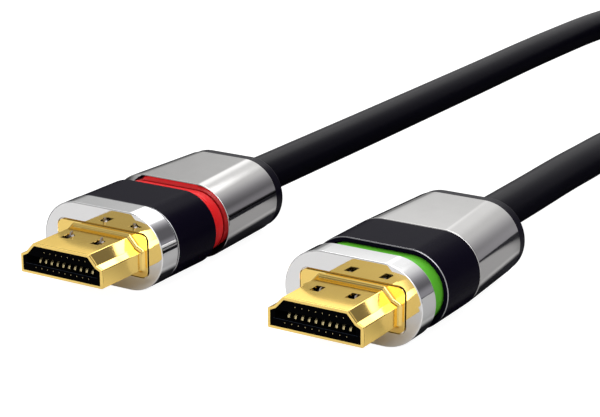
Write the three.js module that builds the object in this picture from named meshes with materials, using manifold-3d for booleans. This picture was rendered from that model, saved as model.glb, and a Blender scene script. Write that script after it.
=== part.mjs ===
// A video cable with a push-pull locking plug on each end, coiled between them.
// Millimetres, +Z up. X runs across the two plugs, +Y from the mouths towards the cable.
// The origin is on the floor under the middle of the two plugs.
// The left plug is locked: its sleeve is forward and shows the red band.
// The right plug is released: its sleeve is back and shows the green band.
import * as THREE from 'three';
import { mergeVertices } from 'three/addons/utils/BufferGeometryUtils.js';
import Module from 'manifold-3d';

const wasm = await Module();
wasm.setup();

// Driving dimensions: the metal shell that goes into a socket
const shellWidth = 13.9;
const shellHeight = 4.45;
const shellSideHeight = 2.63;
const shellLedgeInset = 0.98;
const shellLedgeRise = 0.47;
const shellTopInset = 2.215;
const shellWall = 0.45;
const shellRearSetback = 0.4;
const flareLength = 0.9;
const flareRise = 0.5;
const flangeWidth = 15.43;
const flangeHeight = 6.23;
const flangeCorner = 1;
const flangeThickness = 0.6;
const flangeFront = 9.15;
const flangeDrop = 0.23;
const windowWidth = 1.3;
const windowLength = 1.95;
const windowFront = 4;
const windowSpacing = 5.2;

// Driving dimensions: the moulded insert and its contacts
const insertSetback = 0.15;
const insertRearSetback = 0.35;
const slotWidth = 11.8;
const slotFloor = -0.78;
const slotCeiling = 0.4;
const slotDepth = 8.5;
const lipThickness = 0.75;
const contactPitch = 1;
const contactWidth = 0.4;
const contactThickness = 0.18;
const lowerContactCount = 10;
const upperContactCount = 9;
const upperTipCount = 8;
const lowerTipHeight = -1.26;
const upperTipHeight = 1.12;
const contactTipSetback = 0.2;
const contactClearance = 0.13;
const contactRearBar = 0.25;

// Driving dimensions: the latch fork whose hooks stand in the shell's windows
const hookWidth = 0.9;
const hookLength = 0.6;
const hookStandProud = 0.55;
const latchThickness = 0.22;
const latchDrop = 0.6;
const latchClearance = 0.15;
const latchBarLength = 0.9;

// Driving dimensions: the plug's body, its bands, sleeve, hood and end cap
const noseWidth = 20.44;
const noseHeight = 11.26;
const noseFront = 9.3;
const noseRear = 13;
const noseEdge = 0.3;
const sleeveOverWidth = 0.06;
const sleeveUnderHeight = 0.16;
const sleeveWall = 0.7;
const sleeveLength = 9.2;
const sleeveEdge = 0.35;
const sleeveTravel = 3.1;
const bandWall = 0.85;
const greenBandLength = 4;
const redBandLength = 4.1;
const hoodLength = 14.4;
const hoodRearWidth = 18.55;
const hoodRearHeight = 11.4;
const hoodEdge = 0.25;
const capLength = 1.85;
const capInset = 0.15;
const capEdge = 0.6;
const stopClearance = 0.15;
const fitClearance = 0.15;
const runningClearance = 0.2;

// Driving dimensions: the cable and where it lies
const plugPitch = 40.1;
const cableDiameter = 6;
const cableClearance = 0.3;
const coilOuterTurn = 41;
const coilTurnsPerLayer = 2.75;
const coilLayers = 2;
const coilCentreY = 204;
const tieWidth = 10;
const tieThickness = 0.6;
const tieSlack = 0.6;

// Worked out from the sizes above
const axisHeight = hoodRearHeight / 2;
const shellBottom = -shellHeight / 2;
const shellTop = shellHeight / 2;
const shellLength = noseRear - shellRearSetback;
const insertRear = shellLength - insertRearSetback;
const sleeveWidth = noseWidth + sleeveOverWidth;
const sleeveHeight = noseHeight - sleeveUnderHeight;
const sleeveBoreWidth = sleeveWidth - 2 * sleeveWall;
const sleeveBoreHeight = sleeveHeight - 2 * sleeveWall;
const bandWidth = sleeveBoreWidth - 2 * runningClearance;
const bandHeight = sleeveBoreHeight - 2 * runningClearance;
const seatWidth = bandWidth - 2 * bandWall;
const seatHeight = bandHeight - 2 * bandWall;
const coreWidth = seatWidth - 2 * fitClearance;
const coreHeight = seatHeight - 2 * fitClearance;
const sleeveLocked = noseRear + stopClearance;
const sleeveReleased = sleeveLocked + sleeveTravel;
const hoodFront = sleeveReleased + sleeveLength + stopClearance;
const hoodRear = hoodFront + hoodLength;
const capFront = hoodRear + stopClearance;
const plugLength = capFront + capLength;
const coreFront = noseRear + stopClearance;
const plugX = plugPitch / 2;
const exitY = plugLength / 2;
const cableRadius = cableDiameter / 2;
const coilInnerTurn = coilOuterTurn - cableDiameter * coilTurnsPerLayer;
const coilCentreX = coilOuterTurn - plugX;
const coilSolidOuter = coilOuterTurn + cableRadius + cableClearance;
const coilSolidInner = coilInnerTurn - cableRadius - cableClearance;
const coilHeight = coilLayers * cableDiameter;

// How finely the round shapes are cut into facets
const arcSegments = 8;
const cornerSegments = 2;
const flareSegments = 4;
const coilSides = 48;
const cableSides = 10;
const cableStep = 2.5 * cableDiameter;
const overrun = 1;
const weldDistance = 1e-4;

// Helpers that join and cut solids
function toSolid(geometry) {
  const bare = geometry.clone();
  bare.deleteAttribute('normal');
  bare.deleteAttribute('uv');
  const welded = mergeVertices(bare, weldDistance);
  return new wasm.Manifold(new wasm.Mesh({
    numProp: 3,
    vertProperties: new Float32Array(welded.attributes.position.array),
    triVerts: new Uint32Array(welded.index.array),
  }));
}

function toGeometry(solid) {
  const mesh = solid.getMesh();
  const geometry = new THREE.BufferGeometry();
  geometry.setAttribute('position', new THREE.BufferAttribute(mesh.vertProperties, mesh.numProp));
  geometry.setIndex(new THREE.BufferAttribute(mesh.triVerts, 1));
  geometry.computeVertexNormals();
  return geometry;
}

function cut(body, ...cutters) {
  return cutters.reduce((solid, cutter) => solid.subtract(cutter), body);
}

function join(body, ...others) {
  return others.reduce((solid, other) => solid.add(other), body);
}

// Outlines in the plug's cross-section: x across, y of the outline standing for height
function roundedOutline(width, height, radius) {
  const outline = new THREE.Shape();
  const dx = width / 2 - radius;
  const dz = height / 2 - radius;
  const right = Math.PI / 2;
  outline.absarc(dx, -dz, radius, -right, 0);
  outline.absarc(dx, dz, radius, 0, right);
  outline.absarc(-dx, dz, radius, right, 2 * right);
  outline.absarc(-dx, -dz, radius, 2 * right, 3 * right);
  return outline;
}

function stadiumOutline(width, height) {
  const outline = new THREE.Shape();
  const radius = height / 2;
  const dx = width / 2 - radius;
  outline.absarc(dx, 0, radius, -Math.PI / 2, Math.PI / 2);
  outline.absarc(-dx, 0, radius, Math.PI / 2, 1.5 * Math.PI);
  return outline;
}

// The shell's outline, wide side down, moved inwards by an inset (outwards if negative)
function shellOutline(inset) {
  const side = shellBottom + shellSideHeight;
  const half = shellWidth / 2;
  const rightHalf = [
    [half, shellBottom],
    [half, side],
    [half - shellLedgeInset, side + shellLedgeRise],
    [half - shellTopInset, shellTop],
  ];
  const leftHalf = rightHalf.map(([x, z]) => [-x, z]).reverse();
  const corners = [...rightHalf, ...leftHalf].map(([x, z]) => new THREE.Vector2(x, z));
  return new THREE.Shape(corners.map((corner, i) => {
    const before = corners[(i + corners.length - 1) % corners.length];
    const after = corners[(i + 1) % corners.length];
    const inward = (from, to) => {
      const along = to.clone().sub(from).normalize();
      return new THREE.Vector2(-along.y, along.x);
    };
    const first = inward(before, corner);
    const second = inward(corner, after);
    const shift = first.clone().add(second).multiplyScalar(inset / (1 + first.dot(second)));
    return corner.clone().add(shift);
  }));
}

// An outline swept along +Y through stations that may each scale it across and in height
function sweep(outline, stations, curveSegments = arcSegments) {
  const steps = stations.length - 1;
  const geometry = new THREE.ExtrudeGeometry(outline, {
    depth: steps, steps, bevelEnabled: false, curveSegments,
  });
  const position = geometry.attributes.position;
  for (let i = 0; i < position.count; i += 1) {
    const { y, across = 1, up = 1 } = stations[steps - Math.round(position.getZ(i))];
    position.setXYZ(i, position.getX(i) * across, y, position.getY(i) * up);
  }
  return toSolid(geometry);
}

function prism(outline, front, rear, curveSegments) {
  return sweep(outline, [{ y: front }, { y: rear }], curveSegments);
}

// A stadium-shaped drum whose width and height change from station to station
function drum(sections) {
  const { width, height } = sections[0];
  const stations = sections.map((section) => ({
    y: section.y, across: section.width / width, up: section.height / height,
  }));
  return sweep(stadiumOutline(width, height), stations);
}

function bore(width, height, front, rear) {
  return prism(stadiumOutline(width, height), front - overrun, rear + overrun);
}

function block(x, y, z) {
  const box = new THREE.BoxGeometry(x[1] - x[0], y[1] - y[0], z[1] - z[0]);
  box.translate((x[0] + x[1]) / 2, (y[0] + y[1]) / 2, (z[0] + z[1]) / 2);
  return toSolid(box);
}

function around(centre, width) {
  return [centre - width / 2, centre + width / 2];
}

// A strip seen from the side as a polyline of [y, z] points, with a width across X
function strip(x, width, thickness, line) {
  const under = line.map(([y, z]) => new THREE.Vector2(y, z - thickness / 2));
  const over = line.map(([y, z]) => new THREE.Vector2(y, z + thickness / 2)).reverse();
  const geometry = new THREE.ExtrudeGeometry(new THREE.Shape([...under, ...over]), {
    depth: width, bevelEnabled: false,
  });
  geometry.applyMatrix4(new THREE.Matrix4().makeBasis(
    new THREE.Vector3(0, 1, 0), new THREE.Vector3(0, 0, 1), new THREE.Vector3(1, 0, 0),
  ));
  geometry.translate(x - width / 2, 0, 0);
  return toSolid(geometry);
}

// Places across the plug that repeat
const windowPlaces = [-windowSpacing / 2, windowSpacing / 2];
function rowOfContacts(count) {
  return Array.from({ length: count }, (_, i) => (i - (count - 1) / 2) * contactPitch);
}

// Pieces of one plug, in its own frame: mouth at y = 0, cable axis at x = z = 0

// The shell turns outwards in a quarter round where it meets its flange
function shellFlare() {
  const turns = Array.from({ length: flareSegments + 1 }, (_, i) => i / flareSegments);
  const stations = turns.map((turn) => {
    const angle = (turn * Math.PI) / 2;
    const rise = flareRise * (1 - Math.cos(angle));
    return {
      y: flangeFront - flareLength * (1 - Math.sin(angle)),
      across: 1 + (2 * rise) / shellWidth,
      up: 1 + (2 * rise) / shellHeight,
    };
  });
  const buried = { ...stations.at(-1), y: flangeFront + flangeThickness / 2 };
  return sweep(shellOutline(0), [...stations, buried]);
}

function shell() {
  const flange = prism(
    roundedOutline(flangeWidth, flangeHeight, flangeCorner),
    flangeFront, flangeFront + flangeThickness, cornerSegments,
  ).translate([0, 0, -flangeDrop]);
  const windows = windowPlaces.map((x) => block(
    around(x, windowWidth), [windowFront, windowFront + windowLength], [0, shellTop + overrun],
  ));
  return cut(
    join(prism(shellOutline(0), 0, shellLength), shellFlare(), flange),
    prism(shellOutline(shellWall), -overrun, shellLength + overrun),
    ...windows,
  );
}

// Where each contact runs: its tip dips behind the lip, then it lies along the slot
const lowerContactZ = slotFloor - contactThickness / 2 + contactClearance;
const upperContactZ = slotCeiling + contactThickness / 2 - contactClearance;
const contactTipY = insertSetback + contactTipSetback;
const contactBendY = insertSetback + lipThickness + contactClearance;
const contactRear = insertRear + contactClearance + contactRearBar;

function contactLine(tipZ, runZ) {
  return [[contactTipY, tipZ], [contactBendY, runZ], [contactRear, runZ]];
}

function contactComb(places, tips, tipZ, runZ) {
  const fingers = places.map((x) => strip(
    x, contactWidth, contactThickness,
    tips.includes(x) ? contactLine(tipZ, runZ) : contactLine(tipZ, runZ).slice(1),
  ));
  const rearBar = block(
    [places[0] - contactWidth / 2, places[places.length - 1] + contactWidth / 2],
    [contactRear - contactRearBar, contactRear], around(runZ, contactThickness),
  );
  return join(rearBar, ...fingers);
}

// The photographed face shows one tip fewer in its upper row than there are contacts
const lowerPlaces = rowOfContacts(lowerContactCount);
const upperPlaces = rowOfContacts(upperContactCount);
const upperTips = upperPlaces.slice(upperContactCount - upperTipCount);

function lowerContacts() {
  return contactComb(lowerPlaces, lowerPlaces, lowerTipHeight, lowerContactZ);
}

function upperContacts() {
  return contactComb(upperPlaces, upperTips, upperTipHeight, upperContactZ);
}

// The room that one row of contacts needs: a groove on each run and a hole at each tip
function contactRoom(places, tips, tipZ, runZ) {
  const width = contactWidth + 2 * contactClearance;
  const height = contactThickness + 2 * contactClearance;
  const grooves = places.map((x) => strip(
    x, width, height, [[contactBendY - contactClearance, runZ], [insertRear + overrun, runZ]],
  ));
  const holes = tips.map((x) => strip(
    x, width, height, [[-overrun, tipZ], [contactTipY, tipZ], [contactBendY, runZ]],
  ));
  return [...grooves, ...holes];
}

// The latch fork: two arms under the shell's top wall, each with a hook in its window
const latchTopZ = shellTop - shellWall - latchClearance;
const latchZ = latchTopZ - latchThickness / 2;
const hookRear = windowFront + windowLength - latchClearance;
const latchRear = coreFront + latchBarLength;

function latchHooks() {
  const arms = windowPlaces.map((x) => strip(
    x, hookWidth, latchThickness, [[hookRear - hookLength, latchZ], [latchRear, latchZ]],
  ));
  const hooks = windowPlaces.map((x) => block(
    around(x, hookWidth), [hookRear - hookLength, hookRear],
    [latchZ, shellTop + hookStandProud],
  ));
  const bar = block(
    [windowPlaces[0] - hookWidth / 2, windowPlaces[1] + hookWidth / 2],
    [latchRear - latchBarLength, latchRear], around(latchZ, latchThickness),
  );
  return join(bar, ...arms, ...hooks);
}

// The space that a strip of the latch sweeps as it drops
function latchRoom(x, front, rear) {
  return block(
    [x[0] - latchClearance, x[1] + latchClearance], [front, rear],
    [latchZ - latchThickness / 2 - latchDrop - latchClearance, shellTop],
  );
}

function insert() {
  const slot = block(around(0, slotWidth), [-overrun, slotDepth], [slotFloor, slotCeiling]);
  const channels = windowPlaces.map((x) => latchRoom(
    around(x, hookWidth), hookRear - hookLength - latchClearance, insertRear + overrun,
  ));
  return cut(
    prism(shellOutline(shellWall + fitClearance), insertSetback, insertRear),
    slot, ...channels,
    ...contactRoom(lowerPlaces, lowerPlaces, lowerTipHeight, lowerContactZ),
    ...contactRoom(upperPlaces, upperTips, upperTipHeight, upperContactZ),
  );
}

function nose() {
  const small = { width: noseWidth - 2 * noseEdge, height: noseHeight - 2 * noseEdge };
  const full = { width: noseWidth, height: noseHeight };
  const outside = drum([
    { y: noseFront, ...small }, { y: noseFront + noseEdge, ...full }, { y: noseRear, ...full },
  ]);
  const flangeSeat = prism(
    roundedOutline(
      flangeWidth + 2 * fitClearance, flangeHeight + 2 * fitClearance, flangeCorner + fitClearance,
    ),
    noseFront - overrun, flangeFront + flangeThickness + fitClearance, cornerSegments,
  ).translate([0, 0, -flangeDrop]);
  const shellSeat = prism(shellOutline(-fitClearance), noseFront, noseRear + overrun);
  return cut(outside, flangeSeat, shellSeat);
}

function core() {
  const latchPocket = latchRoom(
    [windowPlaces[0] - hookWidth / 2, windowPlaces[1] + hookWidth / 2],
    coreFront - overrun, latchRear + latchClearance,
  );
  return cut(
    prism(stadiumOutline(coreWidth, coreHeight), coreFront, hoodRear), latchPocket,
  );
}

function band(front, rear) {
  return cut(
    prism(stadiumOutline(bandWidth, bandHeight), front, rear),
    bore(seatWidth, seatHeight, front, rear),
  );
}

function greenBand() {
  return band(coreFront, coreFront + greenBandLength);
}

function redBand() {
  const rear = hoodFront - stopClearance;
  return band(rear - redBandLength, rear);
}

// The sleeve is drawn where it sits when the plug is locked
function sleeve() {
  const rear = sleeveLocked + sleeveLength;
  const small = { width: sleeveWidth - 2 * sleeveEdge, height: sleeveHeight - 2 * sleeveEdge };
  const full = { width: sleeveWidth, height: sleeveHeight };
  const outside = drum([
    { y: sleeveLocked, ...small },
    { y: sleeveLocked + sleeveEdge, ...full },
    { y: rear - sleeveEdge, ...full },
    { y: rear, ...small },
  ]);
  return cut(outside, bore(sleeveBoreWidth, sleeveBoreHeight, sleeveLocked, rear));
}

function hood() {
  const front = { width: sleeveWidth, height: sleeveHeight };
  const outside = drum([
    { y: hoodFront, width: front.width - 2 * hoodEdge, height: front.height - 2 * hoodEdge },
    { y: hoodFront + hoodEdge, ...front },
    { y: hoodRear, width: hoodRearWidth, height: hoodRearHeight },
  ]);
  return cut(outside, bore(seatWidth, seatHeight, hoodFront, hoodRear));
}

function endCap() {
  const width = hoodRearWidth - 2 * capInset;
  const height = hoodRearHeight - 2 * capInset;
  return drum([
    { y: capFront, width, height },
    { y: plugLength - capEdge, width, height },
    { y: plugLength, width: width - 2 * capEdge, height: height - 2 * capEdge },
  ]);
}

// The cable's route between the two plugs, in the whole part's frame
const exitGap = exitY + cableClearance;
const leftRoute = [
  [-plugX, exitGap, axisHeight],
  [-plugX, 60, 5.6],
  [-plugX, 100, 4.9],
  [-plugX, 140, 3.8],
  [-plugX, 170, 3.1],
  [-plugX, 186, cableRadius],
  [-plugX, coilCentreY, cableRadius],
];
const rightRoute = [
  [plugX, exitGap, axisHeight],
  [plugX, 40, 5.6],
  [plugX, 60, 5],
  [22, 82, 3.9],
  [29, 104, 3.2],
  [41, 126, 3.3],
  [53, 148, 4.4],
  [59.5, 170, 6.6],
  [coilCentreX + coilOuterTurn, 189, 8.6],
  [coilCentreX + coilOuterTurn, coilCentreY, 1.5 * cableDiameter],
];

function tube(points) {
  const path = new THREE.CatmullRomCurve3(points.map((point) => new THREE.Vector3(...point)));
  const section = new THREE.Shape(Array.from({ length: cableSides }, (_, i) => {
    const angle = (i * 2 * Math.PI) / cableSides;
    return new THREE.Vector2(Math.cos(angle), Math.sin(angle)).multiplyScalar(cableRadius);
  }));
  return toSolid(new THREE.ExtrudeGeometry(section, {
    steps: Math.round(path.getLength() / cableStep), extrudePath: path, bevelEnabled: false,
  }));
}

// A ring about the coil's centre with a square section, from an inner to an outer radius
function coilRing(inner, outer, low, high) {
  const corners = [[inner, low], [outer, low], [outer, high], [inner, high], [inner, low]];
  const geometry = new THREE.LatheGeometry(
    corners.map(([radius, z]) => new THREE.Vector2(radius, z)), coilSides,
  );
  geometry.rotateX(Math.PI / 2);
  geometry.translate(coilCentreX, coilCentreY, 0);
  return toSolid(geometry);
}

// The tie wraps the coil's far side: a frame around the section of the turns
const tieInner = [coilSolidInner - cableClearance, coilSolidOuter + cableClearance];
const tieTop = coilHeight + tieThickness + tieSlack;

function tieBlock(inset, width) {
  return block(
    around(coilCentreX, width),
    [coilCentreY + tieInner[0] - tieThickness + inset,
      coilCentreY + tieInner[1] + tieThickness - inset],
    [inset, tieTop + tieThickness - inset],
  );
}

function coilTie() {
  return cut(tieBlock(0, tieWidth), tieBlock(tieThickness, tieWidth + overrun));
}

// The room for the tie under the turns and at their sides
function tieNotch() {
  const outside = tieBlock(-cableClearance, tieWidth + 2 * cableClearance);
  return cut(outside, tieBlock(tieThickness + cableClearance, tieWidth + 3 * cableClearance));
}

function cableCoil() {
  return cut(coilRing(coilSolidInner, coilSolidOuter, 0, coilHeight), tieNotch());
}

function cableRun(points) {
  const clearOfCoil = coilRing(
    coilSolidInner, coilSolidOuter + cableClearance, -overrun, coilHeight + overrun,
  );
  return cut(tube(points), clearOfCoil);
}

// Finishes
function finish(colour, metalness, roughness) {
  return { color: colour, metalness, roughness };
}
const gold = finish(0xe6b95c, 1, 0.22);
const chrome = finish(0xd9dadc, 1, 0.1);
const blackPlastic = finish(0x060607, 0, 0.5);
const blackSatin = finish(0x17171b, 0, 0.35);
const greenPlastic = finish(0x4bae35, 0, 0.4);
const redPlastic = finish(0xe3262c, 0, 0.4);
const greyMetal = finish(0x97989b, 1, 0.3);
const springSteel = finish(0xc9c4b8, 1, 0.3);
const blackFabric = finish(0x121214, 0, 0.9);

const part = new THREE.Group();

function addMesh(parent, name, solid, look) {
  const mesh = new THREE.Mesh(toGeometry(solid), new THREE.MeshStandardMaterial(look));
  mesh.name = name;
  parent.add(mesh);
  return mesh;
}

// Both plugs are alike; the sleeve and the latch lie where the plug's state puts them
function addPlug(side, x, sleeveShift, latchShift) {
  const plug = new THREE.Group();
  plug.position.set(x, -plugLength / 2, axisHeight);
  addMesh(plug, `${side}_shell`, shell(), gold);
  addMesh(plug, `${side}_insert`, insert(), blackPlastic);
  addMesh(plug, `${side}_lower_contacts`, lowerContacts(), gold);
  addMesh(plug, `${side}_upper_contacts`, upperContacts(), gold);
  addMesh(plug, `${side}_nose`, nose(), chrome);
  addMesh(plug, `${side}_core`, core(), blackPlastic);
  addMesh(plug, `${side}_green_band`, greenBand(), greenPlastic);
  addMesh(plug, `${side}_red_band`, redBand(), redPlastic);
  addMesh(plug, `${side}_hood`, hood(), greyMetal);
  addMesh(plug, `${side}_end_cap`, endCap(), blackSatin);
  addMesh(plug, `${side}_sleeve`, sleeve(), blackSatin).position.y = sleeveShift;
  addMesh(plug, `${side}_latch_hooks`, latchHooks(), springSteel).position.z = latchShift;
  part.add(plug);
}

addPlug('left', -plugX, 0, 0);
addPlug('right', plugX, sleeveTravel, -latchDrop);
addMesh(part, 'cable_run_left', cableRun(leftRoute), blackSatin);
addMesh(part, 'cable_run_right', cableRun(rightRoute), blackSatin);
addMesh(part, 'cable_coil', cableCoil(), blackSatin);
addMesh(part, 'coil_tie', coilTie(), blackFabric);

export default part;
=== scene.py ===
"""A video cable: a locking plug on each end, and the spare length in a tied coil.

The CAD nodes in model.glb give each piece's place. The left plug is locked and shows its red
band, the right plug is released and shows its green band. Lengths are in metres.
"""
import math

import bmesh
import bpy
from bpy.props import FloatProperty, FloatVectorProperty, IntProperty, PointerProperty
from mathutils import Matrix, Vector


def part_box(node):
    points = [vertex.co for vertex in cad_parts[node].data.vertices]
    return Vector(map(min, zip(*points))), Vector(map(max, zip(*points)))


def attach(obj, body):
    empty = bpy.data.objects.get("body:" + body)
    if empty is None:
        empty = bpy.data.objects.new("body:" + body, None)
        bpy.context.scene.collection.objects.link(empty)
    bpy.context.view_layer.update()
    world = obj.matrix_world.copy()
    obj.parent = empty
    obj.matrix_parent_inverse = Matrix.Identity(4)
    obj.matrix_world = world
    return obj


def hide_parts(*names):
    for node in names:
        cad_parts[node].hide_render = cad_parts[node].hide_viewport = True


bl_info = {
    "name": "Video cable with locking plugs",
    "version": (1, 0, 0),
    "blender": (4, 5, 0),
    "location": "3D View > Sidebar > Video cable",
    "description": "Dresses a packed video cable: plugs, bands, sleeves, hoods, cable and stage",
    "category": "Object",
}

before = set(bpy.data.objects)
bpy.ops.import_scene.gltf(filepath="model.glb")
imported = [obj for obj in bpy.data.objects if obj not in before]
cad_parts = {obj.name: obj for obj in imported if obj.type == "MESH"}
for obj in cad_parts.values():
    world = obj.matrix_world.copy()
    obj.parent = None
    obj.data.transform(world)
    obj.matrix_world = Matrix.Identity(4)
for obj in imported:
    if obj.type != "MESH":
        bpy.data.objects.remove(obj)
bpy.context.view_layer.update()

MM = 0.001
SIDES = ("left", "right")

# How many contacts each row has, and how many of them show a tip
CONTACT_ROWS = {"lower_contacts": (10, 10), "upper_contacts": (9, 8)}

# How far a cutter reaches past what it cuts
CUT_BEYOND = 1 * MM

# Fine details of the shells and what is inside them
TIGHTEST_FOLD = 0.05 * MM
SHEET_RIM = 0.05 * MM
RIM_GROOVE = 0.35 * MM
INSERT_FRONT = 0.06 * MM
INSERT_GAP = 0.04 * MM
# The bar along the insert's lip that carries a painted highlight, and how far it runs past the
# slot
LIP_LINE = 0.035 * MM
LIP_LINE_SHARE = 1.04
HOLE_ROOM = 0.13 * MM
TIP_HOLE_ROOM = 0.06 * MM
CONTACT_BEND = 0.68 * MM
CONTACT_BAR = 0.25 * MM
TIP_REACH = 0.17 * MM
TIP_POINT = 0.7
TIP_LENGTH = 0.3 * MM
CREST_SHARE = 0.85

# How far behind its bend a lower contact bows up, and how high, in millimetres
SPRING_BOW = [
    (0.0, -0.16), (0.07, 0.12), (0.18, 0.32), (0.36, 0.47), (0.6, 0.52), (1.0, 0.46),
    (2.2, 0.0),
]
STRAIGHT_RUN = [(0.03, 0.0)]

# Fine details of the bands, the sleeves and the end caps
GROOVE_DEPTH = 0.1 * MM
RED_GROOVE = 0.62
EDGE_TILT = (0.2, 0.9)
CAP_HOLE_ROOM = 0.2 * MM
CAP_HOLE_EDGE = 0.15 * MM

# How finely round shapes are cut
CORNER_STEPS = 24
EDGE_STEPS = 5
BEND_STEPS = 5
FLARE_STEPS = 10
MERGE_DISTANCE = 1e-8
SHARP_ANGLE = math.radians(32)


def length(name, description, millimetres):
    """A size that a user would change, with its default in millimetres."""
    return FloatProperty(
        name=name, description=description, default=millimetres * MM, min=0.0,
        precision=5, unit="LENGTH",
    )


def colour(name, description, red, green, blue):
    """A finish's colour, as linear red, green and blue."""
    return FloatVectorProperty(
        name=name, description=description, default=(red, green, blue), size=3,
        min=0.0, max=1.0, subtype="COLOR",
    )


def amount(name, description, default, high=1.0):
    """A plain share or strength."""
    return FloatProperty(
        name=name, description=description, default=default, min=0.0, max=high,
        subtype="FACTOR",
    )


class ShellSizes(bpy.types.PropertyGroup):
    """Sizes of the plugs' sheet-metal shells and what is inside them."""

    width: length("Width", "Shell's outer width at the mouth", 13.9)
    height: length("Height", "Shell's outer height at the mouth", 4.45)
    side: length("Side height", "Height of the shell's upright sides", 2.63)
    ledge_inset: length("Ledge inset", "How far the ledge runs inwards", 0.98)
    ledge_rise: length("Ledge rise", "How far the ledge rises", 0.47)
    top_inset: length("Top inset", "From the side to the flat top", 2.215)
    wall: length("Wall", "Thickness of the sheet metal", 0.36)
    bend: length("Bend", "Outer radius of the folded corners", 0.16)
    flare: length("Flare length", "Length of the quarter round before the flange", 0.9)
    flare_rise: length("Flare rise", "How far the quarter round turns outwards", 0.5)
    flange_front: length("Flange place", "From the mouth to the flange's face", 9.15)
    flange_thickness: length("Flange thickness", "Thickness of the flange plate", 0.6)
    flange_corner: length("Flange corner", "Corner radius of the flange plate", 1.0)
    window_width: length("Window width", "Width of a latch window", 1.3)
    window_length: length("Window length", "Length of a latch window", 1.95)
    window_front: length("Window place", "From the mouth to a latch window", 4.0)
    window_spacing: length("Window spacing", "Between the two windows' centres", 5.2)
    hook_width: length("Hook width", "Width of a latch arm", 0.9)
    hook_tip: length("Hook tip", "Width of a latch hook's tip", 0.22)
    latch_room: length("Latch room", "Depth of the latch's channels below the top", 1.57)
    slot_width: length("Slot width", "Width of the insert's slot", 11.8)
    slot_floor: length("Slot floor", "Slot's floor below the middle", 0.78)
    slot_ceiling: length("Slot ceiling", "Slot's ceiling above the middle", 0.4)
    slot_depth: length("Slot depth", "Depth of the insert's slot", 8.5)
    contact_pitch: length("Contact pitch", "From one contact to the next", 1.0)
    contact_width: length("Contact width", "Width of a contact", 0.4)
    contact_tip: length("Contact tip", "Width of a contact's tip", 0.18)
    contact_thickness: length("Contact thickness", "Thickness of a contact", 0.18)


class BodySizes(bpy.types.PropertyGroup):
    """Sizes of the plugs' outer pieces that their CAD boxes don't give."""

    nose_edge: length("Nose edge", "Radius of the nose's front edge", 0.16)
    sleeve_wall: length("Sleeve wall", "Thickness of the sliding sleeve", 0.7)
    sleeve_edge: length("Sleeve edge", "Radius of the sleeve's bright front edge", 0.16)
    band_wall: length("Band wall", "Thickness of the coloured bands", 0.85)
    hood_edge: length("Hood edge", "Radius of the hood's bright edges", 0.14)
    hood_rear_width: length("Hood rear width", "Width of the hood at its rear", 18.55)
    hood_front_height: length("Hood front height", "Height of the hood at its front", 11.1)
    cap_edge: length("Cap edge", "Radius of the end cap's rear edge", 0.35)
    fit: length("Fit", "Clearance between pieces that fit together", 0.15)


class CableSizes(bpy.types.PropertyGroup):
    """Sizes of the cable, its coil and its tie."""

    diameter: length("Diameter", "Outer diameter of the cable", 6.0)
    full_length: length("Length", "Length of the cable from plug to plug", 1500.0)
    outer_turn: length("Outer turn", "Radius of the coil's outer turn", 41.0)
    coil_y: length("Coil place", "From the origin to the coil's centre", 204.0)
    tie_thickness: length("Tie thickness", "Thickness of the tie", 0.6)
    turn_points: IntProperty(
        name="Points a turn", description="Points of the cable's line in one turn",
        default=24, min=12, max=64,
    )


class FinishColours(bpy.types.PropertyGroup):
    """Colours of the finishes."""

    gold: colour("Gold plate", "Shell's plating", 1.0, 0.7, 0.21)
    gold_rim: colour("Gold edge tint", "Plating seen at a low angle", 1.0, 0.88, 0.6)
    contact: colour("Contact gold", "Contacts' plating", 0.52, 0.43, 0.23)
    chrome: colour("Chrome", "Nose's polish", 0.82, 0.82, 0.83)
    hood: colour("Grey metal", "Hood's metal", 0.565, 0.557, 0.555)
    sleeve: colour("Black satin", "Sleeve's and end cap's black", 0.004, 0.003, 0.009)
    edge: colour("Bright edge", "Sleeve's turned edge", 0.4, 0.4, 0.42)
    insert: colour("Black plastic", "Insert's black", 0.0012, 0.0012, 0.0016)
    # The lip line's colour is a painted highlight along the insert's lip edge
    worn: colour("Worn lip", "Line along the insert's lip", 0.02, 0.027, 0.042)
    green: colour("Green", "Band that a released plug shows", 0.12, 0.53, 0.033)
    red: colour("Red", "Band that a locked plug shows", 1.0, 0.02, 0.024)
    steel: colour("Spring steel", "Latch's metal", 0.34, 0.31, 0.29)
    jacket: colour("Cable jacket", "Cable's black", 0.0035, 0.003, 0.007)
    tie: colour("Tie fabric", "Tie's black", 0.02, 0.02, 0.022)


class StageSettings(bpy.types.PropertyGroup):
    """The camera, the floor and the studio light."""

    camera_place: FloatVectorProperty(
        name="Camera", description="The camera's place", size=3, unit="LENGTH",
        default=(0.13146, -0.20522, 0.08854), precision=5,
    )
    camera_line: FloatVectorProperty(
        name="Line of sight", description="The direction in which the camera looks",
        size=3, subtype="DIRECTION", default=(-0.50025, 0.81152, -0.30198),
    )
    lens: FloatProperty(
        name="Lens", description="Focal length in millimetres on a 36 mm sensor",
        default=111.17, min=10.0, unit="CAMERA",
    )
    floor_glow: amount("Floor glow", "How bright the pale floor is by itself", 0.94)
    softbox: amount("Softbox", "Brightness of the soft light behind the plugs", 1.65, 10.0)
    bright_box: amount("Bright box", "Brightness of the softbox's upper part", 4.5, 10.0)
    front_light: amount("Front light", "Brightness of the light in front", 4.5, 10.0)
    ceiling: amount("Ceiling", "Brightness of the light overhead", 1.0, 10.0)
    studio: amount("Studio", "Brightness of the studio's pale walls", 0.84, 10.0)


class CableSettings(bpy.types.PropertyGroup):
    """Everything that a user would change."""

    shell: PointerProperty(type=ShellSizes, name="Shell", description="Shell sizes")
    body: PointerProperty(type=BodySizes, name="Body", description="Outer pieces' sizes")
    cable: PointerProperty(type=CableSizes, name="Cable", description="Cable sizes")
    colours: PointerProperty(type=FinishColours, name="Colours", description="Finishes")
    stage: PointerProperty(type=StageSettings, name="Stage", description="Camera and light")


def settings():
    return bpy.context.scene.video_cable


# Shader maths

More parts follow.
